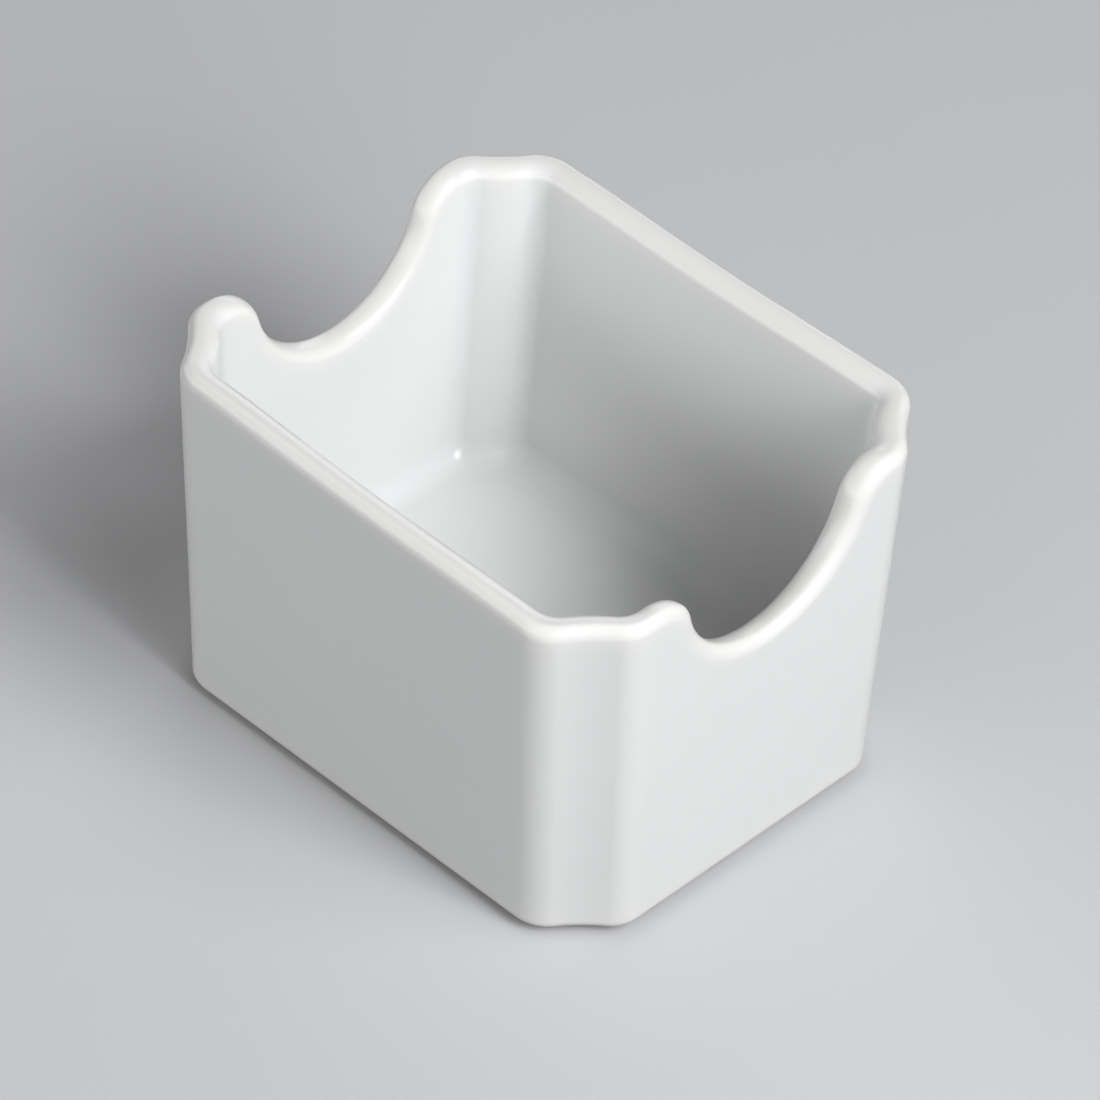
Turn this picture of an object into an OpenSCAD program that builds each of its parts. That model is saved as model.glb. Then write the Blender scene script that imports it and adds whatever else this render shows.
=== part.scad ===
// Porcelain holder for paper sugar packets.
// An open box with four cut and fluted corners, walls that lean in towards the base, a rolled
// rim, a thumb cut-out in each end wall and a bare foot ring. A coat of glaze covers the fired
// clay everywhere but on the foot ring.
// The origin is the middle of the plane that the foot ring stands on, with +Z up, the end walls
// across X and the side walls across Y.

/* [Overall size] */
// Length over the end walls, measured at the rim
holder_length = 100; // [84:1:130]
// Width over the side walls, measured at the rim
holder_width = 84; // [80:1:110]
// Height of the rim above the table at the corners
holder_height = 69.5; // [52:0.5:90]

/* [Walls and floor] */
// Thickness of the walls, glaze included
wall_thickness = 5.2; // [4:0.1:6]
// Thickness of the floor over the recess, glaze included
floor_thickness = 5.8; // [4:0.1:8]
// Radius with which the walls run into the floor inside
floor_fillet = 4.5; // [2:0.1:6]
// Radius of the outer edge under the walls
base_edge = 2; // [1:0.1:3]
// Lean of the end walls from upright, in degrees
end_lean = 0.8; // [0:0.1:4]
// Lean of the side walls from upright, in degrees
side_lean = 2.9; // [0:0.1:5]

/* [Cut corners] */
// Length that a cut corner takes off the side wall
cut_on_side = 10.6; // [9:0.1:16]
// Length that a cut corner takes off the end wall
cut_on_end = 12.5; // [10:0.1:16]
// Outer radius where a cut corner meets a wall
corner_radius = 8.5; // [4:0.1:9]
// Inner radius where a cut corner meets a wall
inner_corner_radius = 4.5; // [1:0.1:5.5]
// Angle through which the hollow flute of a cut corner turns, in degrees
flute_turn = 10; // [4:1:20]

/* [Rim] */
// Height of the rim's outer curve
rim_outer_roll = 2.5; // [2:0.1:5]
// Height of the rim's inner curve
rim_inner_roll = 2; // [1:0.1:3]
// Distance of the rim's crest from the outer face
rim_crest = 1.6; // [1.2:0.1:2.6]
// Dip of the rim at the middle of each side wall
rim_dip = 0.6; // [0:0.1:2]

/* [Thumb cut-outs] */
// Width of a cut-out between the points where the rim starts to fall
cutout_width = 53; // [42:1:56]
// Depth of a cut-out below the rim
cutout_depth = 20.5; // [14:0.5:25]
// Radius of the shoulders over which the rim falls into a cut-out
cutout_shoulder = 8.3; // [6.5:0.1:11]

/* [Foot ring] */
// Height of the foot ring
foot_height = 1; // [0.6:0.1:2]
// Width of the foot ring
foot_width = 3; // [2:0.1:5]
// Distance of the foot ring from the foot of the outer face
foot_inset = 3.6; // [3.2:0.1:6]
// Rise of the recess inside the foot ring above the glaze's underside
recess_rise = 2.2; // [0.6:0.1:3]

/* [Glaze] */
// Thickness of the glaze
glaze_thickness = 0.3; // [0.2:0.05:0.5]

/* [Hidden] */

// Steps along each stretch of a quarter of the outline, and round each curve of the section
bowl_steps = 8;
shoulder_steps = 5;
end_steps = 1;
corner_steps = 4;
flute_steps = 3;
side_steps = 3;
base_edge_steps = 3;
outer_roll_steps = 4;
inner_roll_steps = 3;
fillet_steps = 3;
// Stretches of a quarter outline: end wall, rounding, flute, rounding and side wall
STRETCHES = 5;
// A quarter turn in degrees, and the length of an arc of one degree and unit radius
QUARTER = 90;
RADIAN = PI / 180;
// How far a cut runs past the face that it opens
OVERRUN = 1;

function shares(steps) = [for (i = [0 : steps - 1]) i / steps];
function shares_to_end(steps) = concat(shares(steps), [1]);
function mix(p, q, share) = p + (q - p) * share;
function heading(angle) = [cos(angle), sin(angle)];
function sum_to(list, last) = last < 0 ? 0 : list[last] + sum_to(list, last - 1);

// Heights of the glaze's underside, of the wall's start above the base edge, of the recess inside
// the foot ring and of the floor
UNDERSIDE_Z = foot_height;
WALL_FOOT_Z = UNDERSIDE_Z + base_edge;
RECESS_Z = UNDERSIDE_Z + recess_rise;
FLOOR_Z = RECESS_Z + floor_thickness;

// Turn from the end wall to the chord of the flute, turns of the two roundings beside the flute,
// and the heading of the outward normal where the flute ends
CUT_TURN = atan2(cut_on_side, cut_on_end);
FIRST_TURN = CUT_TURN + flute_turn / 2;
SECOND_TURN = QUARTER - CUT_TURN + flute_turn / 2;
FLUTE_END_HEADING = FIRST_TURN - flute_turn;

// A quarter of the holder's outline, set in from the outer face by inset. Each stretch is tangent
// to the next: end wall, rounding of radius r, hollow flute, rounding and side wall.
// It is kept as [end of the end wall, start of the side wall, centre of the first rounding,
// centre of the flute, centre of the second rounding, r, radius of the flute].
function outline(inset, r) =
    let (
        half_length = holder_length / 2 - inset,
        half_width = holder_width / 2 - inset,
        on_side = cut_on_side - inset * (1 - tan((QUARTER - CUT_TURN) / 2)),
        on_end = cut_on_end - inset * (1 - tan(CUT_TURN / 2)),
        first = r * (heading(FIRST_TURN) - heading(0)),
        second = r * (heading(QUARTER) - heading(FLUTE_END_HEADING)),
        end_y = half_width - on_end - first.y - first.x / tan(CUT_TURN),
        side_x = half_length - on_side + second.x + second.y * tan(CUT_TURN),
        flute_start = [half_length, end_y] + first,
        flute_end = [side_x, half_width] - second,
        flute_r = norm(flute_end - flute_start) / (2 * sin(flute_turn / 2))
    )
    [
        [half_length, end_y],
        [side_x, half_width],
        [half_length - r, end_y],
        flute_start + flute_r * heading(FIRST_TURN),
        [side_x, half_width - r],
        r,
        flute_r
    ];

// The point of an outline at t, which runs from 0 at the middle of the end wall to 5 at the
// middle of the side wall and grows by 1 over each stretch
function outline_point(o, t) =
    t <= 1 ? [o[0].x, o[0].y * t]
    : t <= 2 ? o[2] + o[5] * heading((t - 1) * FIRST_TURN)
    : t <= 3 ? o[3] - o[6] * heading(FIRST_TURN - (t - 2) * flute_turn)
    : t <= 4 ? o[4] + o[5] * heading(FLUTE_END_HEADING + (t - 3) * SECOND_TURN)
    : [o[1].x * (STRETCHES - t), o[1].y];

// The outline at an inset, whose roundings shrink evenly through the wall
function outline_at(inset) =
    outline(inset, mix(corner_radius, inner_corner_radius, min(1, inset / wall_thickness)));

// Lengths of the outer outline's stretches and the distances along it at which they end
OUTER = outline_at(0);
LENGTHS = [
    OUTER[0].y,
    corner_radius * FIRST_TURN * RADIAN,
    OUTER[6] * flute_turn * RADIAN,
    corner_radius * SECOND_TURN * RADIAN,
    OUTER[1].x
];
STOPS = [for (i = [0 : STRETCHES - 1]) sum_to(LENGTHS, i)];

// The value of t at a distance along the outer outline
function t_at(distance, i = 0) =
    i == STRETCHES - 1 || distance <= STOPS[i]
        ? min(STRETCHES, i + 1 - (STOPS[i] - distance) / LENGTHS[i])
        : t_at(distance, i + 1);

// The walls' lean draws an outline in towards the base, between the rim's roll and the base edge
function leaned(point, z) =
    let (drop = max(0, holder_height - rim_outer_roll - max(z, WALL_FOOT_Z)))
    [
        point.x * (1 - drop * tan(end_lean) / (holder_length / 2)),
        point.y * (1 - drop * tan(side_lean) / (holder_width / 2))
    ];

// Each cut-out falls by two tangent arcs: a bowl round its lowest point and a shoulder under the
// level rim, which turn through the same angle
HALF_CUTOUT = cutout_width / 2;
FALL_TURN = 2 * atan2(cutout_depth, HALF_CUTOUT);
BOWL_R = HALF_CUTOUT / sin(FALL_TURN) - cutout_shoulder;

// Points of the rim's crest over a quarter of the outline, each as
// [distance along the outer outline, height, upward normal in the wall's own plane]
BOWL_POINTS = [
    for (share = shares(bowl_steps))
        let (slope = FALL_TURN * share)
        [
            BOWL_R * sin(slope),
            holder_height - cutout_depth + BOWL_R * (1 - cos(slope)),
            [-sin(slope), cos(slope)]
        ]
];
SHOULDER_POINTS = [
    for (share = shares(shoulder_steps))
        let (slope = FALL_TURN * (1 - share))
        [
            HALF_CUTOUT - cutout_shoulder * sin(slope),
            holder_height - cutout_shoulder * (1 - cos(slope)),
            [-sin(slope), cos(slope)]
        ]
];

// The rim beyond the cut-out: level as far as the side wall, then with the side wall's shallow dip
function rim_point(distance) =
    let (
        share = max(0, distance - STOPS[3]) / LENGTHS[4],
        slope = -rim_dip * sin(2 * QUARTER * share) * QUARTER * RADIAN / LENGTHS[4]
    )
    [
        distance,
        holder_height - rim_dip * pow(sin(QUARTER * share), 2),
        [-slope, 1] / norm([slope, 1])
    ];

// A stretch that the cut-out takes up whole has no steps left
STEPS = [end_steps, corner_steps, flute_steps, corner_steps, side_steps];
STARTS = [for (i = [0 : STRETCHES - 1]) max(HALF_CUTOUT, i == 0 ? 0 : STOPS[i - 1])];
RIM_POINTS = [
    for (i = [0 : STRETCHES - 1])
        if (STOPS[i] > STARTS[i])
            for (share = shares(STEPS[i]))
                rim_point(mix(STARTS[i], STOPS[i], share))
];
CREST = concat(BOWL_POINTS, SHOULDER_POINTS, RIM_POINTS, [rim_point(STOPS[STRETCHES - 1])]);

// The section through a wall at a depth under the glaze's surface, from the foot ring up the
// outside, over the rim and down to the floor. Each entry is [inset from the outer face, depth
// below the crest along its normal, height]. On the rim the depth sets the height. Elsewhere
// the height is given, and the depth only keeps each column of points under its rim point.
function section(under) =
    concat(
        [[foot_inset, rim_outer_roll, UNDERSIDE_Z + under]],
        [
            for (share = shares_to_end(base_edge_steps))
                let (way = heading(QUARTER * share) * (base_edge - under))
                [base_edge - way.y, rim_outer_roll, WALL_FOOT_Z - way.x]
        ],
        [
            for (share = shares(outer_roll_steps))
                let (a = QUARTER * share)
                [
                    rim_crest - (rim_crest - under) * cos(a),
                    rim_outer_roll - (rim_outer_roll - under) * sin(a),
                    undef
                ]
        ],
        [
            for (share = shares_to_end(inner_roll_steps))
                let (a = QUARTER * share)
                [
                    rim_crest + (wall_thickness - rim_crest - under) * sin(a),
                    rim_inner_roll - (rim_inner_roll - under) * cos(a),
                    undef
                ]
        ],
        [
            for (share = shares_to_end(fillet_steps))
                let (way = heading(QUARTER * share) * (floor_fillet + under))
                [
                    wall_thickness + floor_fillet - way.x,
                    rim_inner_roll,
                    FLOOR_Z + floor_fillet - way.y
                ]
        ]
    );

// A quarter's points are mirrored in both vertical planes into a ring, anticlockwise from above
function ring(quarter) =
    let (last = len(quarter) - 1)
    concat(
        quarter,
        [for (i = [last - 1 : -1 : 0]) [-quarter[i].x, quarter[i].y, quarter[i].z]],
        [for (i = [1 : last]) [-quarter[i].x, -quarter[i].y, quarter[i].z]],
        [for (i = [last - 1 : -1 : 1]) [quarter[i].x, -quarter[i].y, quarter[i].z]]
    );

// The ring of points that one entry of the section sweeps round the holder
function section_ring(entry) =
    let (o = outline_at(entry[0]))
    ring([
        for (crest = CREST)
            let (
                distance = crest[0] - crest[2].x * entry[1],
                z = is_undef(entry[2]) ? crest[1] - crest[2].y * entry[1] : entry[2],
                point = leaned(outline_point(o, t_at(distance)), z)
            )
            [point.x, point.y, z]
    ]);

// Points of the whole skin at a depth under the glaze's surface, ring by ring, and then the
// middle of the floor. The faces join ring to ring, and seen from outside they turn clockwise.
function skin_points(under) =
    concat(
        [for (entry = section(under)) each section_ring(entry)],
        [[0, 0, FLOOR_Z - under]]
    );
AROUND = 4 * (len(CREST) - 1);
RINGS = len(section(0));
SKIN_SIZE = AROUND * RINGS + 1;
function after(i) = (i + 1) % AROUND;
function band(lower, upper) = [
    for (i = [0 : AROUND - 1])
        each [
            [lower + i, upper + i, upper + after(i)],
            [lower + i, upper + after(i), lower + after(i)]
        ]
];
function fan_in(start, pole) = [for (i = [0 : AROUND - 1]) [start + i, pole, start + after(i)]];
function turned(faces) = [for (face = faces) [face[0], face[2], face[1]]];
SKIN_FACES = concat(
    [for (r = [0 : RINGS - 2]) each band(r * AROUND, (r + 1) * AROUND)],
    fan_in((RINGS - 1) * AROUND, SKIN_SIZE - 1)
);

// The foot ring's edge at an inset from the foot of the outer face
function foot_edge(inset) = [
    for (point = section_ring([inset, rim_outer_roll, UNDERSIDE_Z])) [point.x, point.y]
];

// A block with straight sides under the holder, from one height to another, whose edge lies at an
// inset from the foot of the outer face
module foot_block(inset, low, high) {
    translate([0, 0, low])
        linear_extrude(high - low)
            polygon(foot_edge(inset));
}

// Fired clay: floor and walls under the glaze, and the foot ring round the recess
module porcelain_body() {
    color([0.93, 0.91, 0.87])
        difference() {
            union() {
                polyhedron(
                    concat(skin_points(glaze_thickness), [[0, 0, UNDERSIDE_Z + glaze_thickness]]),
                    concat(SKIN_FACES, turned(fan_in(0, SKIN_SIZE)))
                );
                foot_block(foot_inset, 0, RECESS_Z);
            }
            foot_block(foot_inset + foot_width, -OVERRUN, RECESS_Z);
        }
}

// Glaze over the outside, the rim and the cavity: the outer skin, the skin that lies on the clay,
// and a band down the foot ring's side that joins the two
module glaze() {
    color([0.97, 0.97, 0.96])
        polyhedron(
            concat(skin_points(0), skin_points(glaze_thickness)),
            concat(
                SKIN_FACES,
                [for (face = turned(SKIN_FACES)) face + SKIN_SIZE * [1, 1, 1]],
                band(SKIN_SIZE, 0)
            )
        );
}

// Glaze over the ceiling of the recess and down its side
module underside_glaze() {
    color([0.97, 0.97, 0.96])
        difference() {
            foot_block(foot_inset + foot_width, UNDERSIDE_Z, RECESS_Z);
            foot_block(
                foot_inset + foot_width + glaze_thickness,
                UNDERSIDE_Z - OVERRUN,
                RECESS_Z - glaze_thickness
            );
        }
}

porcelain_body();
glaze();
underside_glaze();
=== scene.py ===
"""Glazed porcelain sugar packet holder: its glaze, its bare clay foot, and the studio round it."""

import math
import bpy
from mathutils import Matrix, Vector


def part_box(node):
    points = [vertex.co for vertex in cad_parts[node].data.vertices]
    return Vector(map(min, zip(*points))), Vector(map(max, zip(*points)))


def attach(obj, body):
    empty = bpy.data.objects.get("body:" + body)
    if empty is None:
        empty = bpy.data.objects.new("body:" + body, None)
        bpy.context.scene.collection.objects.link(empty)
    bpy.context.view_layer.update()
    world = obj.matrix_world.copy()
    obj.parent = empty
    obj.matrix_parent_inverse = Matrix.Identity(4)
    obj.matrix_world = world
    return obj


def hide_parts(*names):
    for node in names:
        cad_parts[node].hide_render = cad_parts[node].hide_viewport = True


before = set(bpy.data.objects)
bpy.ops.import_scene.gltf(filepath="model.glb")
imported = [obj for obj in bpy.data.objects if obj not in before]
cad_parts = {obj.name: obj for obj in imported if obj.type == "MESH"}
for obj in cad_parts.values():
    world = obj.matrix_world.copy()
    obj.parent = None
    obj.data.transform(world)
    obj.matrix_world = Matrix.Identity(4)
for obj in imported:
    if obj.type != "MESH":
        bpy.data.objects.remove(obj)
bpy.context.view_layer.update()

from types import SimpleNamespace

import bpy
import numpy as np
from bpy.props import FloatProperty, FloatVectorProperty, IntProperty, PointerProperty
from mathutils import Matrix, Vector

bl_info = {
    "name": "Sugar Packet Holder",
    "version": (1, 0, 0),
    "blender": (4, 5, 0),
    "location": "View3D > Sidebar > Packet Holder",
    "description": "Builds a glazed porcelain sugar packet holder and a studio to show it in",
    "category": "Object",
}

# Lowest and highest corners of the solids, in metres
GLAZE_LOW, GLAZE_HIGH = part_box("glaze")
CLAY_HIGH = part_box("porcelain_body")[1]
PANEL_LOW, PANEL_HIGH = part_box("underside_glaze")

MM = 0.001
RIGHT_ANGLE = math.pi / 2
BODY = "root"

# Share of half the length, from the middle, past which an end wall's own warp sets in
END_ZONE = 0.75
# Steepness of the bells that hold the kiln's drift and rock to a cut-out
DRIFT_POWER = 8
ROCK_FALL = 1.5

# Least area between a grid's steps for which a normal is told, and shortest step for a bend
LEAST_AREA = 1e-12
SHORTEST_STEP = 0.02 * MM

# Waves of the glaze's ripple: each points along its wave and is as long as the wave, in metres
WAVES = np.array([[31, 12, 7], [-14, 27, 11], [9, -16, 23], [-19, -8, 15], [13, 21, -17]]) * MM

# Middle of what a noise gives
NOISE_MEAN = 0.5

# Glaze: how far clouds and specks change its colour and its roughness, and its bump
CLOUD_TINT = 0.5
SPECK_CHANCE = 0.28
SPECK_TINT = 0.8
SPECK_DULLING = 0.2
GLOSS_SWING = 0.05
GLAZE_BUMP = 0.35
GLAZE_BUMP_HEIGHT = 0.02 * MM

# Clay: where the rubbed patches start and how fast they grow, their colour, gloss and bump
RUB_START = 0.48
RUB_GROWTH = 4
RUB_TINT = 0.6
RUB_POLISH = 0.15
CLAY_ROUGHNESS = 0.72
CLAY_BUMP = 0.5
CLAY_BUMP_HEIGHT = 0.03 * MM

# Floor: its clouds and its roughness
FLOOR_CLOUD = 180 * MM
FLOOR_SHADE = 0.94
FLOOR_ROUGHNESS = 0.85

# Refractive indices
GLAZE_IOR = 1.5
CLAY_IOR = 1.45
FLOOR_IOR = 1.3

# Lamps of the studio: name, azimuth and elevation in degrees, distance, width and height in
# metres, and watts
LAMPS = [
    ("key_softbox", 90, 42, 1.3, 0.5, 0.5, 10.3),
    ("low_softbox", 78, 26, 1.3, 0.6, 0.6, 6.5),
    ("high_softbox", 112, 56, 1.3, 0.6, 0.6, 4.3),
    ("front_strip", -45, 14, 1.6, 2.6, 0.7, 15.0),
    ("front_fill", 8, 17, 1.6, 0.9, 0.5, 3.2),
    ("side_fill", 55, 12, 1.6, 0.8, 0.6, 1.5),
    ("back_fill", 215, 20, 1.6, 1.0, 0.8, 5.4),
]


def length(name, description, default):
    """A property that holds a length in metres."""
    return FloatProperty(
        name=name, description=description, default=default, unit="LENGTH", precision=5
    )


def turn(name, description, degrees):
    """A property that holds an angle."""
    return FloatProperty(
        name=name, description=description, default=math.radians(degrees), unit="ROTATION"
    )


def paint(name, description, default):
    """A property that holds a linear colour."""
    return FloatVectorProperty(
        name=name, description=description, default=default, subtype="COLOR", min=0, max=1
    )


def number(name, description, default):
    """A property that holds a plain number."""
    return FloatProperty(name=name, description=description, default=default)


def count(name, description, default):
    """A property that holds a whole number."""
    return IntProperty(name=name, description=description, default=default, min=1)


class HolderSizes(bpy.types.PropertyGroup):
    """The holder's own sizes."""

    length: length("Length", "Over the end walls at the rim", GLAZE_HIGH.x - GLAZE_LOW.x)
    width: length("Width", "Over the side walls at the rim", GLAZE_HIGH.y - GLAZE_LOW.y)
    height: length("Height", "From the table to the rim at the corners", GLAZE_HIGH.z)
    wall: length("Wall", "Thickness of the walls, glaze included", 5.2 * MM)
    floor: length("Floor", "Thickness of the floor over the recess, glaze included", 5.8 * MM)
    fillet: length("Floor fillet", "Radius between walls and floor inside", 4.5 * MM)
    base_edge: length("Base edge", "Radius of the outer edge under the walls", 2 * MM)
    end_lean: turn("End lean", "Lean of the end walls from upright", 0.8)
    side_lean: turn("Side lean", "Lean of the side walls from upright", 2.9)
    cut_on_side: length("Cut on side", "Length a cut corner takes off a side wall", 10.6 * MM)
    cut_on_end: length("Cut on end", "Length a cut corner takes off an end wall", 12.5 * MM)
    outer_corner: length("Outer corner", "Radius where a cut corner meets a wall", 6.8 * MM)
    inner_corner: length("Inner corner", "The same radius inside", 4.5 * MM)
    flute: turn("Flute", "Angle through which the hollow of a cut corner turns", 16)
    outer_roll: length("Outer roll", "Height of the rim's outer curve", 2.6 * MM)
    inner_roll: length("Inner roll", "Height of the rim's inner curve", 2.4 * MM)
    crest: length("Crest", "Distance of the rim's crest from the outer face", 1.8 * MM)
    dip: length("Dip", "Dip of the rim at the middle of each side wall", 0.6 * MM)
    cutout_width: length("Cut-out width", "Width where the rim starts to fall", 53 * MM)
    cutout_depth: length("Cut-out depth", "Depth of a cut-out below the rim", 20.5 * MM)
    shoulder: length("Shoulder", "Radius of the shoulders of a cut-out", 8.3 * MM)
    foot_height: length("Foot height", "Height of the foot ring", GLAZE_LOW.z)
    foot_width: length("Foot width", "Width of the foot ring", 3 * MM)
    foot_inset: length("Foot inset", "Foot ring to the foot of the outer face", 3.6 * MM)
    recess: length("Recess", "Rise of the recess over the foot", PANEL_HIGH.z - PANEL_LOW.z)
    pool: length("Pool", "Radius of the glaze that runs together round the recess", 1.2 * MM)
    ease: length("Ease", "Radius of the edges of the face that it stands on", GLAZE_LOW.z / 4)
    glaze: length("Glaze", "Thickness of the glaze", GLAZE_HIGH.z - CLAY_HIGH.z)
    ripple: length("Ripple", "How far the glaze wanders from the true surface", 0.04 * MM)
    # The bend it evens out also sets the painted highlight on edges and painted shade in corners
    spread: length("Spread", "How far along the surface the glaze evens itself out", 1.4 * MM)


class KilnWarp(bpy.types.PropertyGroup):
    """How the soft clay moved in the kiln: each length is a movement at the rim."""

    sink: length("Sink", "Fall of the whole rim", 1.05 * MM)
    twist: length("Twist", "Rise of two opposite corners and fall of the other two", 0.76 * MM)
    along: length("Along", "Fall of the +X end and rise of the other", 0.8 * MM)
    across: length("Across", "Rise of the +Y side and fall of the other", 0.2 * MM)
    drift: length("Drift", "Sideways lean of the +X cut-out", 1.35 * MM)
    rock: length("Rock", "Rise of the +X cut-out's bottom and fall of the other", 0.9 * MM)
    skew: length("Skew", "Clay moved across the inside of the +X end wall", 1.1 * MM)


class Steps(bpy.types.PropertyGroup):
    """Steps of the grids, along a quarter of the outline and up the section."""

    bowl: count("Bowl", "Steps along the bowl of a cut-out", 26)
    shoulder: count("Shoulder", "Steps over a shoulder of a cut-out", 16)
    end: count("End wall", "Steps along what is left of the end wall", 2)
    corner: count("Corner", "Steps round each rounding of a cut corner", 14)
    flute: count("Flute", "Steps along the flute of a cut corner", 10)
    side: count("Side wall", "Steps along half of a side wall", 14)
    edge: count("Base edge", "Steps round the base edge and the floor fillet", 10)
    roll: count("Roll", "Steps over each half of the rim", 12)
    wall: count("Wall", "Steps up each wall", 24)
    floor: count("Floor", "Steps from the walls to the middle of the floor", 14)
    foot: count("Foot", "Steps round each edge of the face that it stands on", 4)
    lip: count("Lip", "Steps from the foot ring out to the base edge", 2)
    recess: count("Recess", "Steps round each curve of the glaze under the floor", 5)


class PorcelainLook(bpy.types.PropertyGroup):
    """Colours of the glaze and the clay, and the sizes of what shows in them."""

    white: paint("White", "Glaze over a flat wall", (0.743, 0.747, 0.735))
    # Lighter, warmer glaze on edges and the rim: partly thin glaze, partly a painted highlight
    thin_glaze_and_highlight: paint("Thin", "Glaze drawn thin over the rim", (0.775, 0.765, 0.738))
    # Darker glaze in corners and hollows: partly pooled glaze, partly painted shade
    pooled_glaze_and_shade: paint("Pooled", "Glaze run together in a corner", (0.72, 0.728, 0.718))
    speck: paint("Speck", "Iron specks in the glaze", (0.36, 0.31, 0.25))
    clay: paint("Clay", "Bare fired clay on the foot ring", (0.78, 0.74, 0.66))
    stain: paint("Stain", "Grey rubbed into the bare clay by use", (0.42, 0.40, 0.37))
    gloss: number("Gloss", "Roughness of the glaze", 0.2)
    mirror: number("Mirror", "Strength of the glaze's reflections, 0.5 being that of glass", 0.32)
    # Bends at which the painted highlight on edges and the painted shade in corners are full
    thin_and_highlight_radius: length("Edge radius", "Radius of an edge over which glaze is thinnest", 3 * MM)
    pooled_and_shade_radius: length("Corner radius", "Radius of a hollow in which glaze is deepest", 6 * MM)
    cloud: length("Clouds", "Size of the clouds in the glaze's colour", 34 * MM)
    mottle: length("Mottle", "Size of the patches in the glaze's gloss", 5 * MM)
    dimple: length("Dimples", "Size of the dimples in the glaze", 2.6 * MM)
    speck_spacing: length("Speck spacing", "Distance between places for specks", 21 * MM)
    speck_radius: length("Speck radius", "Radius of a speck", 0.22 * MM)
    grain: length("Grain", "Size of the clay's grains", 0.35 * MM)
    patch: length("Patches", "Size of the rubbed patches on the clay", 6 * MM)


class StudioLook(bpy.types.PropertyGroup):
    """Camera, lamps and floor."""

    azimuth: turn("Azimuth", "Camera's turn round the holder from the side wall's front", 42.469)
    elevation: turn("Elevation", "Camera's height above the horizon", 41.662)
    roll: turn("Roll", "Camera's turn about its own axis", 3.431)
    distance: length("Distance", "Camera to the point it looks at", 1148.38 * MM)
    aim_height: length("Aim height", "Height of the aim on the holder's axis", 33.75 * MM)
    aim_right: length("Aim right", "Point looked at, right of the holder's axis", 2.16 * MM)
    aim_up: length("Aim up", "Point looked at, above the aim's height", -0.872 * MM)
    lens: number("Lens", "Focal length over the frame's width", 6.531773)
    floor_reach: length("Floor reach", "From the holder to each side of the floor", 3.0)
    floor_colour: paint("Floor", "Colour of the floor", (0.6, 0.6, 0.6))
    floor_bounce: paint("Floor bounce", "Colour of light the floor throws up", (0.08, 0.08, 0.08))
    lamp_colour: paint("Lamps", "Colour of the lamps", (0.965, 0.975, 1.0))
    sky_colour: paint("Sky", "Colour of the light from all round", (1.0, 1.0, 1.0))
    sky_level: number("Sky level", "Strength of the light from all round", 0.01)
    backdrop: number("Backdrop", "How bright what lies past the floor looks, 1 being white", 0.4)


def mix(low, high, share):
    """low where share is 0, high where it is 1, and in between on a straight line."""
    return low + (high - low) * share


def cut_turns(size):
    """Turns of the flute's chord from the end wall, and of the roundings before and after it."""
    chord = math.atan2(size.cut_on_side, size.cut_on_end)
    return chord, chord + size.flute / 2, RIGHT_ANGLE - chord + size.flute / 2


def outline(size, inset):
    """A quarter of the outline, set in from the outer face by each value of inset.

    It runs along the end wall to end_y, round an arc of the first turn, along a hollow arc that
    turns back by the flute's angle, round an arc of the second turn, and along the side wall from
    side_x. Each stretch is tangent to the next, and the roundings shrink evenly through the wall.
    """
    chord, first, _ = cut_turns(size)
    hollow = first - size.flute
    r = mix(size.outer_corner, size.inner_corner, np.minimum(1, inset / size.wall))
    half_length = size.length / 2 - inset
    half_width = size.width / 2 - inset
    on_side = size.cut_on_side - inset * (1 - math.tan((RIGHT_ANGLE - chord) / 2))
    on_end = size.cut_on_end - inset * (1 - math.tan(chord / 2))
    first_x, first_y = r * (math.cos(first) - 1), r * math.sin(first)
    second_x, second_y = -r * math.cos(hollow), r * (1 - math.sin(hollow))
    end_y = half_width - on_end - first_y - first_x / math.tan(chord)
    side_x = half_length - on_side + second_x + second_y * math.tan(chord)
    start_x, start_y = half_length + first_x, end_y + first_y
    span = np.hypot(side_x - second_x - start_x, half_width - second_y - start_y)
    flute_r = span / (2 * math.sin(size.flute / 2))
    return SimpleNamespace(
        r=r,
        half_length=half_length,
        half_width=half_width,
        end_y=end_y,
        side_x=side_x,
        flute_r=flute_r,
        flute_x=start_x + flute_r * math.cos(first),
        flute_y=start_y + flute_r * math.sin(first),
    )


def outline_point(size, line, t):
    """Points of a quarter outline at t, from 0 at the end wall's middle to 5 at the side's.

    t grows by 1 over each stretch: straight lines where it is under 1 or over 4, the roundings'
    circles from 1 to 2 and 3 to 4, and the flute's circle, seen from outside, from 2 to 3.
    """
    _, first, second = cut_turns(size)
    hollow = first - size.flute
    one, two, three = (t - 1) * first, first - (t - 2) * size.flute, hollow + (t - 3) * second
    within = [t <= 1, t <= 2, t <= 3, t <= 4]
    x = np.select(
        within,
        [
            line.half_length + 0 * t,
            line.half_length - line.r + line.r * np.cos(one),
            line.flute_x - line.flute_r * np.cos(two),
            line.side_x + line.r * np.cos(three),
        ],
        line.side_x * (5 - t),
    )
    y = np.select(
        within,
        [
            line.end_y * t,
            line.end_y + line.r * np.sin(one),
            line.flute_y - line.flute_r * np.sin(two),
            line.half_width - line.r + line.r * np.sin(three),
        ],
        line.half_width + 0 * t,
    )
    return x, y


def stretch_ends(size):
    """Distances along the outer outline at which its five stretches end."""
    line = outline(size, np.zeros(1))
    _, first, second = cut_turns(size)
    lengths = [line.end_y[0], size.outer_corner * first, line.flute_r[0] * size.flute]
    lengths += [size.outer_corner * second, line.side_x[0]]
    return np.cumsum(lengths)


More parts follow.
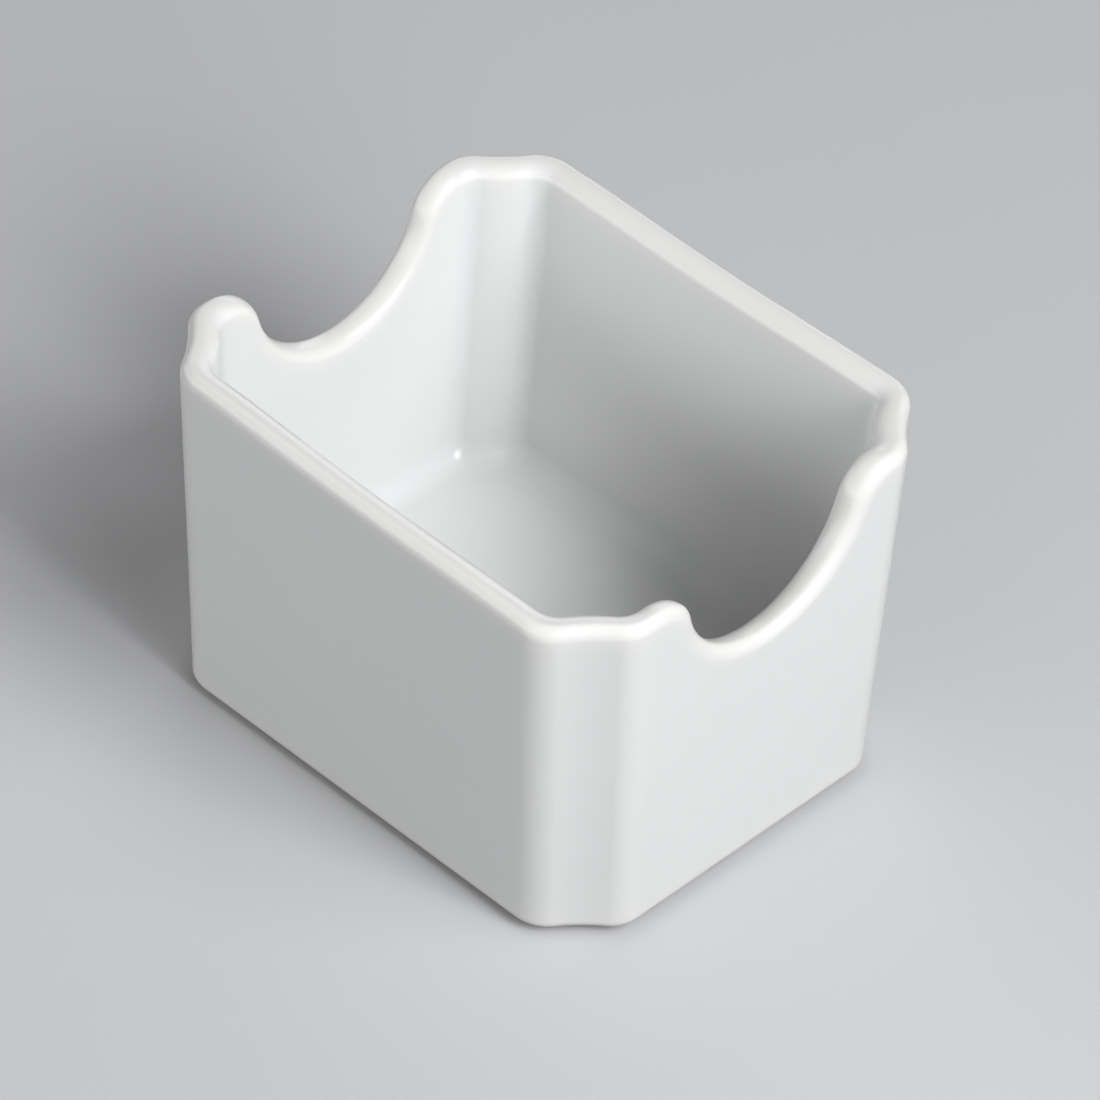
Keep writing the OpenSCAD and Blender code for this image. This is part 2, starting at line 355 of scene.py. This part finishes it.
def crest_line(size, steps):
    """The rim's crest over a quarter: distance along the outline, height and upward normal.

    A cut-out falls by two tangent arcs that turn through the same angle, 2 atan(depth / half
    width): a bowl round its lowest point and a shoulder under the level rim. Past it the rim is
    level, and over the side wall it dips by the square of a sine.
    """
    half = size.cutout_width / 2
    fall = 2 * math.atan2(size.cutout_depth, half)
    bowl = half / math.sin(fall) - size.shoulder
    down = np.linspace(0, fall, steps.bowl, endpoint=False)
    over = np.linspace(fall, 0, steps.shoulder, endpoint=False)
    ends = stretch_ends(size)
    starts = np.maximum(half, np.concatenate([[0], ends[:-1]]))
    each = [steps.end, steps.corner, steps.flute, steps.corner, steps.side]
    level = np.concatenate(
        [np.linspace(a, b, n, endpoint=False) for a, b, n in zip(starts, ends, each) if b > a]
    )
    level = np.append(level, ends[-1])
    share = np.clip((level - ends[3]) / (ends[4] - ends[3]), 0, 1) * RIGHT_ANGLE
    slope = -size.dip * np.sin(2 * share) * RIGHT_ANGLE / (ends[4] - ends[3])
    distance = [bowl * np.sin(down), half - size.shoulder * np.sin(over), level]
    height = [
        size.height - size.cutout_depth + bowl * (1 - np.cos(down)),
        size.height - size.shoulder * (1 - np.cos(over)),
        size.height - size.dip * np.sin(share) ** 2,
    ]
    tilt = np.concatenate([down, over, np.arctan(slope)])
    return np.concatenate(distance), np.concatenate(height), -np.sin(tilt), np.cos(tilt)


def rows(inset, depth, height, share, scale=1.0):
    """Rows of a section, as the columns inset, depth, height, share and scale."""
    return np.stack(np.broadcast_arrays(inset, depth, height, share, scale), axis=-1)


def section(size, steps, under):
    """The section through a wall at a depth under the glaze's surface, as an array of rows.

    It runs from the foot ring out to the base edge, up the outer wall, over the rim by two
    quarter ellipses, down the inner wall and round the fillet to the middle of the floor. A row
    lies at an inset. Its height is mixed, by share, from the rim's at that depth below the crest
    to the height given, and its ring is drawn in by scale, which takes the floor to its middle.
    """
    foot = size.foot_height + size.base_edge
    floor = size.foot_height + size.recess + size.floor
    edge = np.linspace(0, RIGHT_ANGLE, steps.edge + 1)
    roll = np.linspace(0, RIGHT_ANGLE, steps.roll + 1)
    climb = np.linspace(0, 1, steps.wall + 1)[1:-1]
    e = size.base_edge - under
    f = size.fillet + under
    out = size.crest - under
    back = size.wall - size.crest - under
    outer, inner = size.outer_roll, size.inner_roll
    lip = np.linspace(size.foot_inset, size.base_edge, steps.lip + 1)[:-1]
    shrink = np.linspace(1, 0, steps.floor + 1)[1:]
    return np.concatenate(
        [
            rows(lip, outer, size.foot_height + under, 1),
            rows(size.base_edge - e * np.sin(edge), outer, foot - e * np.cos(edge), 1),
            rows(under, outer, foot, 1 - climb),
            rows(size.crest - out * np.cos(roll), outer - (outer - under) * np.sin(roll), 0, 0),
            rows(
                size.crest + back * np.sin(roll[1:]),
                inner - (inner - under) * np.cos(roll[1:]),
                0,
                0,
            ),
            rows(size.wall - under, inner, floor + size.fillet, climb),
            rows(
                size.wall + size.fillet - f * np.cos(edge),
                inner,
                floor + size.fillet - f * np.sin(edge),
                1,
            ),
            rows(size.wall + size.fillet, inner, floor - under, 1, shrink),
        ]
    )


def all_round(x, y, z):
    """Rings from quarters: mirrored in both upright planes, anticlockwise from above."""
    back = slice(-2, None, -1)
    x = np.concatenate([x, -x[:, back], -x[:, 1:], x[:, -2:0:-1]], axis=1)
    y = np.concatenate([y, y[:, back], -y[:, 1:], -y[:, -2:0:-1]], axis=1)
    z = np.concatenate([z, z[:, back], z[:, 1:], z[:, -2:0:-1]], axis=1)
    return np.stack([x, y, z], axis=-1)


def fired(size, warp, grid, inside):
    """The grid after the kiln has moved it, by the warp times the share of the rim's height.

    With u and v running from -1 to 1 over the length and width, the height falls by
    sink + along u - across v - twist u v. The rest goes by the share squared, and sets in over
    the end zones, with w running from -1 to 1 over a cut-out: the +X end wall's middle drifts
    along Y within the steep bell exp(-w^8), and the bottoms of both cut-outs rock by the wide
    bell exp(-1.5 w^2). The +X end wall's inner face turns, as far as inside goes from 0 to 1:
    out at its -Y side and in at its +Y side.
    """
    u = grid[..., 0] / (size.length / 2)
    v = grid[..., 1] / (size.width / 2)
    w = 2 * grid[..., 1] / size.cutout_width
    share = np.clip(grid[..., 2] / size.height, 0, 1)
    fall = warp.sink + warp.along * u - warp.across * v - warp.twist * u * v
    at_end = np.clip((np.abs(u) - END_ZONE) / (1 - END_ZONE), 0, 1)
    near_end = np.where(u > 0, at_end, 0)
    moved = grid.copy()
    moved[..., 0] -= warp.skew * inside * np.clip(w, -1, 1) * share**2 * near_end
    moved[..., 1] += warp.drift * share**2 * np.exp(-(w**DRIFT_POWER)) * near_end
    moved[..., 2] -= fall * share
    moved[..., 2] += warp.rock * np.sign(u) * at_end * share**2 * np.exp(-ROCK_FALL * w**2)
    return moved


def sweep(size, steps, warp, table):
    """Rings of points that the rows of a section sweep round the holder, as the kiln left them.

    At a depth d below the crest a point moves back along the crest's normal, by d times it. The
    walls' lean draws a ring in by the tangent of the lean times the drop below the rim's roll.
    """
    inset, depth, height, share, scale = (column[:, None] for column in table.T)
    distance, crest_height, along, up = crest_line(size, steps)
    ends = stretch_ends(size)
    t = np.interp(distance - along * depth, np.concatenate([[0], ends]), np.arange(len(ends) + 1))
    z = mix(crest_height - up * depth, height, share)
    x, y = outline_point(size, outline(size, inset), t)
    foot = size.foot_height + size.base_edge
    drop = np.maximum(0, size.height - size.outer_roll - np.maximum(z, foot))
    x = x * scale * (1 - drop * math.tan(size.end_lean) / (size.length / 2))
    y = y * scale * (1 - drop * math.tan(size.side_lean) / (size.width / 2))
    inside = np.clip((inset - size.glaze) / (size.wall - 2 * size.glaze), 0, 1)
    return fired(size, warp, all_round(x, y, z), inside)


def strip(lower, upper, around):
    """Quads that join two rings of point numbers, facing out where upper lies over lower."""
    i = np.arange(around)
    j = (i + 1) % around
    return np.stack([lower + i, lower + j, upper + j, upper + i], axis=-1)


def strips(rings, around, start=0):
    """Quads that join each ring of a stack to the next, from the point numbered start."""
    firsts = start + np.arange(rings - 1) * around
    return np.concatenate([strip(first, first + around, around) for first in firsts])


def fan(ring, around, middle):
    """Triangles that join a ring of point numbers to one middle point."""
    i = np.arange(around)
    return np.stack([ring + i, ring + (i + 1) % around, np.full(around, middle)], axis=-1)


def sheet_faces(rings, around, start=0):
    """Quads of a sheet of rings, whose last ring is one point, and triangles round that point."""
    last = start + (rings - 2) * around
    return [strips(rings - 1, around, start), fan(last, around, last + around)]


def turned_over(faces):
    """The same faces, facing the other way."""
    return [group[:, ::-1] for group in faces]


def flat(grid):
    """A sheet's points or values in one list, its last ring being the one it shrinks to."""
    return np.concatenate([grid[:-1].reshape(-1, *grid.shape[2:]), grid[-1, :1]])


def outward(grid):
    """Unit normals of a closed grid of rings, from the cross product of its differences."""
    round_about = np.roll(grid, -1, axis=1) - np.roll(grid, 1, axis=1)
    upwards = np.gradient(grid, axis=0)
    normal = np.cross(round_about, upwards)
    size = np.linalg.norm(normal, axis=-1, keepdims=True)
    return normal / np.maximum(size, LEAST_AREA)


def make_piece(name, points, faces, replaced, finish):
    """A mesh object from points and lists of faces, smooth, riding on the holder's one body."""
    mesh = bpy.data.meshes.new(name)
    mesh.from_pydata(points.tolist(), [], [face for group in faces for face in group.tolist()])
    mesh.shade_smooth()
    mesh.materials.append(finish)
    piece = bpy.data.objects.new(name, mesh)
    bpy.context.scene.collection.objects.link(piece)
    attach(piece, BODY)
    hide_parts(replaced)
    return piece


def ripple(points, reach):
    """How far glaze lies under the true surface: reach times one less the mean of sine waves.

    The waves cross, and each is a radian on from the one before it.
    """
    phases = np.arange(len(WAVES))
    turns = WAVES / np.sum(WAVES**2, axis=1, keepdims=True)
    return reach * (1 - np.mean(np.sin(2 * math.pi * points @ turns.T + phases), axis=-1))


def bend_of(grid, normal):
    """How a surface bends at each point of its grid, in 1/m: above 0 where it is convex.

    It is the turn of the normal along each of the grid's two directions, per length, added up:
    up the section by gradients, and round the rings by the difference of both neighbours.
    """
    ups = [np.gradient(values, axis=0) for values in (grid, normal)]
    rounds = [np.roll(values, -1, 1) - np.roll(values, 1, 1) for values in (grid, normal)]
    return sum(
        np.sum(step * turned, axis=-1) / np.maximum(np.sum(step**2, axis=-1), SHORTEST_STEP**2)
        for step, turned in (ups, rounds)
    )


def softened(values, line, reach, closed):
    """Values along a line of points, each the mean of those round it under a bell of one reach.

    The bell is exp(-d^2 / (2 reach^2)) of the distance d along the line, and each value counts
    for the stretch of line that it stands for.
    """
    steps = np.linalg.norm(np.roll(line, -1, axis=0) - line, axis=-1)
    if not closed:
        steps[-1] = 0
    along = np.concatenate([[0], np.cumsum(steps)[:-1]])
    apart = np.abs(along[:, None] - along)
    if closed:
        apart = np.minimum(apart, steps.sum() - apart)
    bell = np.exp(-(apart**2) / (2 * reach**2)) * (steps + np.roll(steps, 1))
    return (bell / bell.sum(axis=1, keepdims=True)) @ values


def glaze_shell(size, steps, warp):
    """Points, faces and bend of the glaze: the outer skin, the skin on the clay, and their rim.

    The outer skin sinks along its normal by the ripple, which fades out towards the foot.
    """
    outer = sweep(size, steps, warp, section(size, steps, 0))
    inner = sweep(size, steps, warp, section(size, steps, size.glaze))
    normal = outward(outer)
    normal[-1] = (0, 0, 1)
    fade = np.clip((outer[..., 2] - size.foot_height) / size.base_edge - 1, 0, 1)
    wander = ripple(outer, size.ripple) * fade
    wander[-1] = wander[-1].mean()
    outer = outer - normal * wander[..., None]
    rings, around = outer.shape[:2]
    points = flat(outer)
    faces = sheet_faces(rings, around)
    faces += turned_over(sheet_faces(rings, around, len(points)))
    faces.append(strip(len(points), 0, around))
    # The bend sets the thin and pooled glaze colours: a painted highlight on edges, shade in
    # corners
    bend = bend_of(outer, outward(outer))
    bend[-1] = 0
    bend = softened(bend, outer[:, 0], size.spread, closed=False)
    bend = flat(softened(bend.T, outer[0], size.spread, closed=True).T)
    return np.concatenate([points, flat(inner)]), faces, np.append(bend, 0 * bend)


def clay_form(size, steps, warp):
    """Points and faces of the fired clay: the skin under the glaze, closed below round the foot.

    From the skin's first ring the foot goes down, in across the face it stands on with its two
    edges eased by quarter circles, up the recess's side, and flat to the middle of its ceiling.
    """
    skin = sweep(size, steps, warp, section(size, steps, size.glaze))
    near, far = size.foot_inset, size.foot_inset + size.foot_width
    ceiling = size.foot_height + size.recess
    deep = size.outer_roll
    angles = np.linspace(0, RIGHT_ANGLE, steps.foot + 1)
    along = size.ease * (1 - np.cos(angles))
    away = size.ease * (1 - np.sin(angles))
    profile = [
        rows(near + away[::-1], deep, along[::-1], 1),
        rows(far - along[::-1], deep, away[::-1], 1),
        rows(far, deep, ceiling, 1, np.linspace(1, 0, steps.floor + 1)),
    ]
    foot = sweep(size, steps, warp, np.concatenate(profile))
    rings, around = skin.shape[:2]
    points = flat(skin)
    faces = sheet_faces(rings, around)
    faces += turned_over(sheet_faces(len(foot), around, len(points)))
    faces.append(strip(len(points), 0, around))
    return np.concatenate([points, flat(foot)]), faces


def panel_form(size, steps, warp):
    """Points and faces of the glaze under the floor: the recess's ceiling and side.

    Seen in section it runs from the middle of the ceiling's glazed face out to a quarter circle
    where glaze has run together, down the side, in to the clay by a quarter ellipse where it was
    wiped off, and then back over the clay's own side and ceiling.
    """
    far = size.foot_inset + size.foot_width
    ceiling = size.foot_height + size.recess
    deep = size.outer_roll
    lower = ceiling - size.glaze
    inner = far + size.glaze
    angles = np.linspace(0, RIGHT_ANGLE, steps.recess + 1)
    climb = np.linspace(size.foot_height, ceiling, steps.recess + 1)[1:]
    scales = np.linspace(0, 1, steps.floor + 1)[1:]
    profile = [
        rows(inner + size.pool, deep, lower, 1, scales),
        rows(
            inner + size.pool * (1 - np.sin(angles[1:])),
            deep,
            lower - size.pool * (1 - np.cos(angles[1:])),
            1,
        ),
        rows(
            far + size.glaze * np.cos(angles),
            deep,
            size.foot_height + size.glaze * (1 - np.sin(angles)),
            1,
        ),
        rows(far, deep, climb, 1),
        rows(far, deep, ceiling, 1, scales[-2::-1]),
    ]
    grid = sweep(size, steps, warp, np.concatenate(profile))
    rings, around = grid.shape[:2]
    points = grid.reshape(-1, 3)
    middle = len(points)
    faces = [strips(rings, around), fan(middle - around, around, middle + 1)]
    faces += turned_over([fan(0, around, middle)])
    ends = fired(size, warp, np.array([[0, 0, lower], [0, 0, ceiling]]), 1)
    return np.concatenate([points, ends]), faces


class Value:
    """A node's socket on which sums can be written: each operator adds its Math node."""

    def __init__(self, finish, socket):
        self.finish = finish
        self.socket = socket

    def math(self, operation, *values):
        return self.finish.node("ShaderNodeMath", {"operation": operation}, dict(enumerate(values)))

    def __add__(self, other):
        return self.math("ADD", self, other)

    def __sub__(self, other):
        return self.math("SUBTRACT", self, other)

    def __rsub__(self, other):
        return self.math("SUBTRACT", other, self)

    def __mul__(self, other):
        return self.math("MULTIPLY", self, other)

    def __gt__(self, other):
        return self.math("GREATER_THAN", self, other)

    def clamped(self):
        """The value held between 0 and 1."""
        return self.finish.node("ShaderNodeClamp", {}, {"Value": self})

    __radd__ = __add__
    __rmul__ = __mul__


class Finish:
    """A new material, or a new world, built node by node."""

    def __init__(self, block):
        self.block = block
        self.block.use_nodes = True
        self.tree = self.block.node_tree
        self.tree.nodes.clear()

    def node(self, kind, settings=None, sockets=None, output=0):
        """Adds a node, sets it, links or sets its sockets, and gives one of its outputs."""
        made = self.tree.nodes.new(kind)
        for name, value in (settings or {}).items():
            setattr(made, name, value)
        for name, value in (sockets or {}).items():
            if isinstance(value, Value):
                self.tree.links.new(value.socket, made.inputs[name])
            else:
                made.inputs[name].default_value = value
        return None if output is None else Value(self, made.outputs[output])

    def blend(self, share, low, high):
        """A colour that goes from low to high as share goes from 0 to 1."""
        low, high = (c if isinstance(c, Value) else (*c, 1) for c in (low, high))
        settings = {"data_type": "RGBA"}
        return self.node("ShaderNodeMix", settings, {0: share, 6: low, 7: high}, output=2)

    def place(self):
        """Where a point lies on the object, in metres."""
        return self.node("ShaderNodeTexCoord", output="Object")

    def noise(self, place, period, detail=2.0, roughness=0.5):
        """Cloudy noise about 0.5 whose patches are about one period across."""
        sockets = {"Vector": place, "Scale": 1 / period, "Detail": detail, "Roughness": roughness}
        return self.node("ShaderNodeTexNoise", {}, sockets)

    def specks(self, place, spacing, radius):
        """1 at the middle of a speck, falling to 0 at its radius, and 0 between specks."""
        cells = {"Vector": place, "Scale": 1 / spacing, "Randomness": 1.0}
        away = self.node("ShaderNodeTexVoronoi", {}, cells)
        colour = self.node("ShaderNodeTexVoronoi", {}, cells, output="Color")
        chance = self.node("ShaderNodeSeparateColor", {}, {"Color": colour})
        return (1 - away * (spacing / radius)).clamped() * (chance > 1 - SPECK_CHANCE)

    def bump(self, strength, height, waves):
        """Normals that waves, from 0 to 1, lift by a height."""
        sockets = {"Strength": strength, "Distance": height, "Height": waves}
        return self.node("ShaderNodeBump", {}, sockets)

    def surface(self, **sockets):
        """The plain surface shader, its sockets named with _ for each space."""
        named = {name.replace("_", " "): value for name, value in sockets.items()}
        return self.node("ShaderNodeBsdfPrincipled", {}, named)

    def seen(self):
        """1 where the surface is seen or mirrored, and 0 where it only throws light."""
        rays = ("Is Camera Ray", "Is Glossy Ray", "Is Transmission Ray")
        camera, glossy, through = (self.node("ShaderNodeLightPath", output=ray) for ray in rays)
        return (camera + glossy + through).clamped()

    def end(self, shader, output="ShaderNodeOutputMaterial"):
        """Ends it with its shader, and gives the material or world."""
        self.node(output, {}, {"Surface": shader}, output=None)
        return self.block


def white_glaze(look):
    """Glossy white glaze: lighter and warmer over an edge, as thin glaze and a painted highlight,
    darker and cooler in a corner, as pooled glaze and painted shade.

    The mesh's own bend tells the edges from the corners. Clouds drift through the colour, a few
    iron specks show, and the gloss and shallow dimples wander as fired glaze does. Both pieces
    of glaze share it, so it is made once.
    """
    if "white_glaze" in bpy.data.materials:
        return bpy.data.materials["white_glaze"]
    finish = Finish(bpy.data.materials.new("white_glaze"))
    place = finish.place()
    bend = finish.node("ShaderNodeAttribute", {"attribute_name": "bend"}, output="Fac")
    clouds = finish.noise(place, look.cloud)
    mottle = finish.noise(place, look.mottle, detail=3)
    # Edges: thin glaze plus a painted highlight; hollows: pooled glaze plus painted shade
    thin_glaze_and_highlight = (bend * look.thin_and_highlight_radius).clamped()
    pooled_glaze_and_shade = (bend * -look.pooled_and_shade_radius).clamped()
    colour = finish.blend(thin_glaze_and_highlight, look.white, look.thin_glaze_and_highlight)
    colour = finish.blend(pooled_glaze_and_shade, colour, look.pooled_glaze_and_shade)
    colour = finish.blend((clouds - NOISE_MEAN).clamped() * CLOUD_TINT, colour, look.pooled_glaze_and_shade)
    dimples = finish.noise(place, look.dimple, detail=1)
    speck = finish.specks(place, look.speck_spacing, look.speck_radius)
    colour = finish.blend(speck * SPECK_TINT, colour, look.speck)
    shader = finish.surface(
        Base_Color=colour,
        Roughness=(mottle - NOISE_MEAN) * GLOSS_SWING + look.gloss + speck * SPECK_DULLING,
        IOR=GLAZE_IOR,
        Specular_IOR_Level=look.mirror,
        Normal=finish.bump(GLAZE_BUMP, GLAZE_BUMP_HEIGHT, dimples),
    )
    return finish.end(shader)


def bare_clay(look):
    """Fired clay wiped bare: matt, faintly grainy, with grey rubbed into its high spots."""
    finish = Finish(bpy.data.materials.new("bare_clay"))
    place = finish.place()
    grain = finish.noise(place, look.grain, detail=4, roughness=0.65)
    patches = finish.noise(place, look.patch, detail=3)
    rubbed = ((patches - RUB_START) * RUB_GROWTH).clamped() * grain
    shader = finish.surface(
        Base_Color=finish.blend(rubbed * RUB_TINT, look.clay, look.stain),
        Roughness=CLAY_ROUGHNESS - rubbed * RUB_POLISH,
        IOR=CLAY_IOR,
        Normal=finish.bump(CLAY_BUMP, CLAY_BUMP_HEIGHT, grain),
    )
    return finish.end(shader)


def studio_floor(look):
    """Plain matt board, with barely a cloud in its tone.

    It is pale where it is seen or mirrored, and throws only a little light up at the holder.
    """
    finish = Finish(bpy.data.materials.new("studio_floor"))
    place = finish.place()
    darker = [channel * FLOOR_SHADE for channel in look.floor_colour]
    board = finish.blend(finish.noise(place, FLOOR_CLOUD), darker, look.floor_colour)
    colour = finish.blend(finish.seen(), look.floor_bounce, board)
    return finish.end(
        finish.surface(Base_Color=colour, Roughness=FLOOR_ROUGHNESS, IOR=FLOOR_IOR)
    )


def studio_world(look):
    """Faint light from all round, and a pale backdrop where it is seen or mirrored."""
    finish = Finish(bpy.data.worlds.new("studio_world"))
    strength = finish.seen() * (look.backdrop - look.sky_level) + look.sky_level
    colour = (*look.sky_colour, 1)
    shader = finish.node("ShaderNodeBackground", {}, {"Color": colour, "Strength": strength})
    return finish.end(shader, "ShaderNodeOutputWorld")


def direction(azimuth, elevation):
    """Unit vector towards an azimuth, 0 being the side wall's front, and an elevation."""
    level = math.cos(elevation)
    return Vector((math.sin(azimuth) * level, -math.cos(azimuth) * level, math.sin(elevation)))


def facing(place, back, upright):
    """A place and a turn whose -Z looks along -back, with upright as near up as it goes."""
    right = upright.cross(back).normalized()
    turned = Matrix((right, back.cross(right), back)).transposed().to_4x4()
    return Matrix.Translation(place) @ turned


def add_camera(look):
    """The photograph's viewpoint, turned by its roll, on a long lens."""
    back = direction(look.azimuth, look.elevation)
    right = Vector((math.cos(look.azimuth), math.sin(look.azimuth), 0))
    up = back.cross(right)
    rolled_right = right * math.cos(look.roll) + up * math.sin(look.roll)
    rolled_up = up * math.cos(look.roll) - right * math.sin(look.roll)
    aim = Vector((0, 0, look.aim_height)) + rolled_right * look.aim_right + rolled_up * look.aim_up
    data = bpy.data.cameras.new("photo_camera")
    data.lens = look.lens * data.sensor_width
    data.clip_start = look.distance / 10
    data.clip_end = look.distance * 10
    camera = bpy.data.objects.new("photo_camera", data)
    bpy.context.scene.collection.objects.link(camera)
    camera.matrix_world = facing(aim + back * look.distance, back, rolled_up)
    bpy.context.scene.camera = camera


def add_lamp(colour, name, azimuth, elevation, distance, width, height, watts):
    """A rectangular softbox that faces the holder."""
    back = direction(math.radians(azimuth), math.radians(elevation))
    data = bpy.data.lights.new(name, "AREA")
    data.shape = "RECTANGLE"
    data.size = width
    data.size_y = height
    data.energy = watts
    data.color = colour
    lamp = bpy.data.objects.new(name, data)
    bpy.context.scene.collection.objects.link(lamp)
    lamp.matrix_world = facing(back * distance, back, Vector((0, 0, 1)))


class OBJECT_OT_holder_glaze(bpy.types.Operator):
    """Add the glaze over the outside, the rim and the cavity"""

    bl_idname = "object.holder_glaze"
    bl_label = "Glaze"

    def execute(self, context):
        scene = context.scene
        points, faces, bend = glaze_shell(scene.holder_sizes, scene.holder_steps, scene.kiln_warp)
        finish = white_glaze(scene.porcelain_look)
        piece = make_piece("glaze_coat", points, faces, "glaze", finish)
        layer = piece.data.attributes.new("bend", "FLOAT", "POINT")
        layer.data.foreach_set("value", bend)
        return {"FINISHED"}


class OBJECT_OT_holder_clay(bpy.types.Operator):
    """Add the fired clay body with its foot ring"""

    bl_idname = "object.holder_clay"
    bl_label = "Clay Body"

    def execute(self, context):
        scene = context.scene
        points, faces = clay_form(scene.holder_sizes, scene.holder_steps, scene.kiln_warp)
        finish = bare_clay(scene.porcelain_look)
        make_piece("clay_body", points, faces, "porcelain_body", finish)
        return {"FINISHED"}


class OBJECT_OT_holder_panel(bpy.types.Operator):
    """Add the glaze under the floor, inside the foot ring"""

    bl_idname = "object.holder_panel"
    bl_label = "Underside Glaze"

    def execute(self, context):
        scene = context.scene
        points, faces = panel_form(scene.holder_sizes, scene.holder_steps, scene.kiln_warp)
        finish = white_glaze(scene.porcelain_look)
        make_piece("underside_coat", points, faces, "underside_glaze", finish)
        return {"FINISHED"}


class SCENE_OT_holder_studio(bpy.types.Operator):
    """Add the floor, the lamps, the light from all round and the camera"""

    bl_idname = "scene.holder_studio"
    bl_label = "Studio"

    def execute(self, context):
        scene = context.scene
        look = scene.studio_look
        reach = look.floor_reach
        corners = [(-reach, -reach, 0), (reach, -reach, 0), (reach, reach, 0), (-reach, reach, 0)]
        mesh = bpy.data.meshes.new("studio_floor")
        mesh.from_pydata(corners, [], [(0, 1, 2, 3)])
        mesh.materials.append(studio_floor(look))
        floor = bpy.data.objects.new("studio_floor", mesh)
        scene.collection.objects.link(floor)
        for lamp in LAMPS:
            add_lamp(look.lamp_colour, *lamp)
        scene.world = studio_world(look)
        scene.view_settings.view_transform = "Standard"
        add_camera(look)
        return {"FINISHED"}


class VIEW3D_PT_packet_holder(bpy.types.Panel):
    """Lists the holder's pieces and its sizes"""

    bl_label = "Packet Holder"
    bl_space_type = "VIEW_3D"
    bl_region_type = "UI"
    bl_category = "Packet Holder"

    def draw(self, context):
        for operator in OPERATORS:
            self.layout.operator(operator.bl_idname)
        for name in GROUPS:
            box = self.layout.box()
            group = getattr(context.scene, name)
            for entry in group.__annotations__:
                box.prop(group, entry)


OPERATORS = [
    OBJECT_OT_holder_clay,
    OBJECT_OT_holder_glaze,
    OBJECT_OT_holder_panel,
    SCENE_OT_holder_studio,
]
GROUPS = {
    "holder_sizes": HolderSizes,
    "kiln_warp": KilnWarp,
    "holder_steps": Steps,
    "porcelain_look": PorcelainLook,
    "studio_look": StudioLook,
}


def register():
    for group in GROUPS.values():
        bpy.utils.register_class(group)
    for operator in OPERATORS:
        bpy.utils.register_class(operator)
    bpy.utils.register_class(VIEW3D_PT_packet_holder)
    for name, group in GROUPS.items():
        setattr(bpy.types.Scene, name, PointerProperty(type=group))


def unregister():
    for name in GROUPS:
        delattr(bpy.types.Scene, name)
    bpy.utils.unregister_class(VIEW3D_PT_packet_holder)
    for operator in reversed(OPERATORS):
        bpy.utils.unregister_class(operator)
    for group in reversed(GROUPS.values()):
        bpy.utils.unregister_class(group)


def main():
    """Registers the classes, and makes every piece and the studio."""
    register()
    bpy.ops.object.holder_clay()
    bpy.ops.object.holder_glaze()
    bpy.ops.object.holder_panel()
    bpy.ops.scene.holder_studio()


if __name__ == "__main__":
    main()
